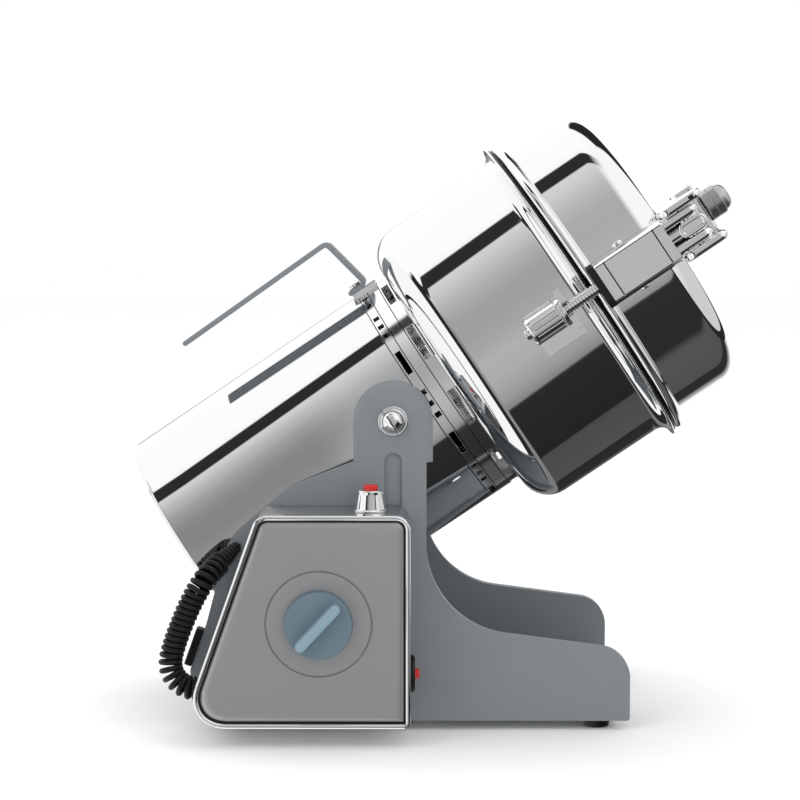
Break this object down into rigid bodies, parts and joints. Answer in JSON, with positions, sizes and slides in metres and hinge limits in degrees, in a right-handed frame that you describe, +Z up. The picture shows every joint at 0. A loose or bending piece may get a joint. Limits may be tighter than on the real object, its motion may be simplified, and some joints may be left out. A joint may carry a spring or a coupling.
{
  "type": "electric grain mill",
  "caption": "Swing-type electric grain mill: a polished steel grinding bowl with latched lid on a motor barrel that tilts between two side plates, with a timer box.",
  "frame": {"origin": "on the floor, below the middle of the mill's overall box", "axes": "+X forwards, to the lid's end; +Z up; the control box is on the -Y side"},
  "size_m": [0.3972, 0.2827, 0.3885],
  "materials": {
    "polished_steel": "polished stainless steel",
    "satin_steel": "brushed stainless steel",
    "bright_ring": "fine-turned aluminium",
    "stand_paint": "blue-grey satin enamel",
    "panel_steel": "brushed, lengthwise grain",
    "knob_plastic": "satin blue-grey plastic",
    "black_plastic": "fine grain",
    "red_plastic": "gloss",
    "black_rubber": "matte",
    "zinc_steel": "bright zinc",
    "lamination": "stacked sheet",
    "copper": "enamelled winding",
    "blade_steel": "ground"
  },
  "bodies": {
    "stand": {"floor_plate": "stand_paint", "floor_screws": "zinc_steel", "side_plate_near": "stand_paint", "side_plate_far": "stand_paint", "rubber_feet": "black_rubber", "edge_guards": "black_rubber", "pivot_bolts": "zinc_steel", "pivot_cap_nuts": "polished_steel", "pivot_washers": "polished_steel", "thrust_washers": "black_plastic", "control_housing": "satin_steel", "control_bezel": "polished_steel", "control_panel": "panel_steel", "timer_body": "black_plastic", "start_collar": "polished_steel", "start_switch": "black_plastic", "reset_collar": "black_plastic", "breaker_body": "black_plastic", "cord_glands": "black_plastic", "curly_cord": "black_rubber"},
    "mill": {"motor_housing": "polished_steel", "end_cover": "satin_steel", "cover_screws": "zinc_steel", "vent_ring": "bright_ring", "motor_bracket": "bright_ring", "window_ring": "bright_ring", "pivot_bosses": "bright_ring", "stator": "lamination", "stator_windings": "copper", "bearings": "zinc_steel", "brush_holders": "black_plastic", "grinding_bowl": "polished_steel", "shaft_seal": "black_rubber", "gasket": "black_rubber", "latch_lug": "zinc_steel", "bowl_hinge_leaf": "zinc_steel", "hinge_pin": "zinc_steel", "handle_strap": "stand_paint", "strap_screws": "zinc_steel"},
    "rotor": {"rotor_shaft": "blade_steel", "armature": "lamination", "commutator": "copper", "cooling_fan": "black_plastic", "blades": "blade_steel", "blade_spacers": "blade_steel", "blade_nut": "zinc_steel"},
    "lid": {"lid": "polished_steel", "lid_hinge_leaf": "zinc_steel", "latch_tongue": "zinc_steel"},
    "latch": {"latch_block": "zinc_steel", "latch_pin": "polished_steel", "latch_pad": "black_rubber"},
    "lever": {"cam_lever": "zinc_steel", "lever_knob": "black_plastic"},
    "draw_rod": {"draw_rod": "polished_steel"},
    "collar": {"nut_collar": "zinc_steel"},
    "nut": {"knurled_nut": "zinc_steel"},
    "timer_knob": {"timer_knob": "knob_plastic"},
    "start_button": {"start_button": "red_plastic"},
    "reset_button": {"reset_button": "red_plastic"}
  },
  "joints": [
    {"name": "mill_swing", "type": "hinge", "parent": "stand", "child": "mill", "pos_m": [-0.028, 0.01675, 0.197], "axis": [0, -1, 0], "range_deg": [-54, 56]},
    {"name": "rotor_spin", "type": "hinge", "parent": "mill", "child": "rotor", "pos_m": [-0.0252, 0.01675, 0.19285], "axis": [0.829, 0, 0.5592], "continuous": true},
    {"name": "lid_hinge", "type": "hinge", "parent": "mill", "child": "lid", "pos_m": [0.09304, 0.13585, 0.27864], "axis": [-0.5592, 0, 0.829], "range_deg": [0, 100]},
    {"name": "lever_throw", "type": "hinge", "parent": "latch", "child": "lever", "pos_m": [0.15356, -0.10275, 0.31946], "axis": [0.5592, 0, -0.829], "range_deg": [0, 110]},
    {"name": "latch_swing", "type": "hinge", "parent": "lid", "child": "latch", "pos_m": [0.1175, -0.09425, 0.29514], "axis": [-0.5592, 0, 0.829], "range_deg": [0, 16]},
    {"name": "rod_draw", "type": "slide", "parent": "latch", "child": "draw_rod", "axis": [-0.829, 0, -0.5592], "range_m": [0, 0.003]},
    {"name": "collar_travel", "type": "slide", "parent": "draw_rod", "child": "collar", "axis": [-0.829, 0, -0.5592], "range_m": [0, 0.0025]},
    {"name": "nut_turn", "type": "hinge", "parent": "collar", "child": "nut", "pos_m": [0.07149, -0.10275, 0.2641], "axis": [-0.829, 0, -0.5592], "range_deg": [0, 720]},
    {"name": "timer_turn", "type": "hinge", "parent": "stand", "child": "timer_knob", "pos_m": [-0.073, -0.12425, 0.078], "axis": [0, 1, 0], "range_deg": [0, 300]},
    {"name": "start_press", "type": "slide", "parent": "stand", "child": "start_button", "axis": [0, 0, -1], "range_m": [0, 0.002], "stiffness_N_per_m": 400, "springref_m": -0.002},
    {"name": "reset_press", "type": "slide", "parent": "stand", "child": "reset_button", "axis": [-1, 0, 0], "range_m": [0, 0.002], "stiffness_N_per_m": 400, "springref_m": -0.002}
  ],
  "couplings": [
    {"joint": "lever_throw", "follows": "rod_draw", "rad_per_m": 639.95},
    {"joint": "latch_swing", "follows": "rod_draw", "rad_per_m": 93.08},
    {"joint": "nut_turn", "follows": "collar_travel", "rad_per_m": 5026.5}
  ]
}
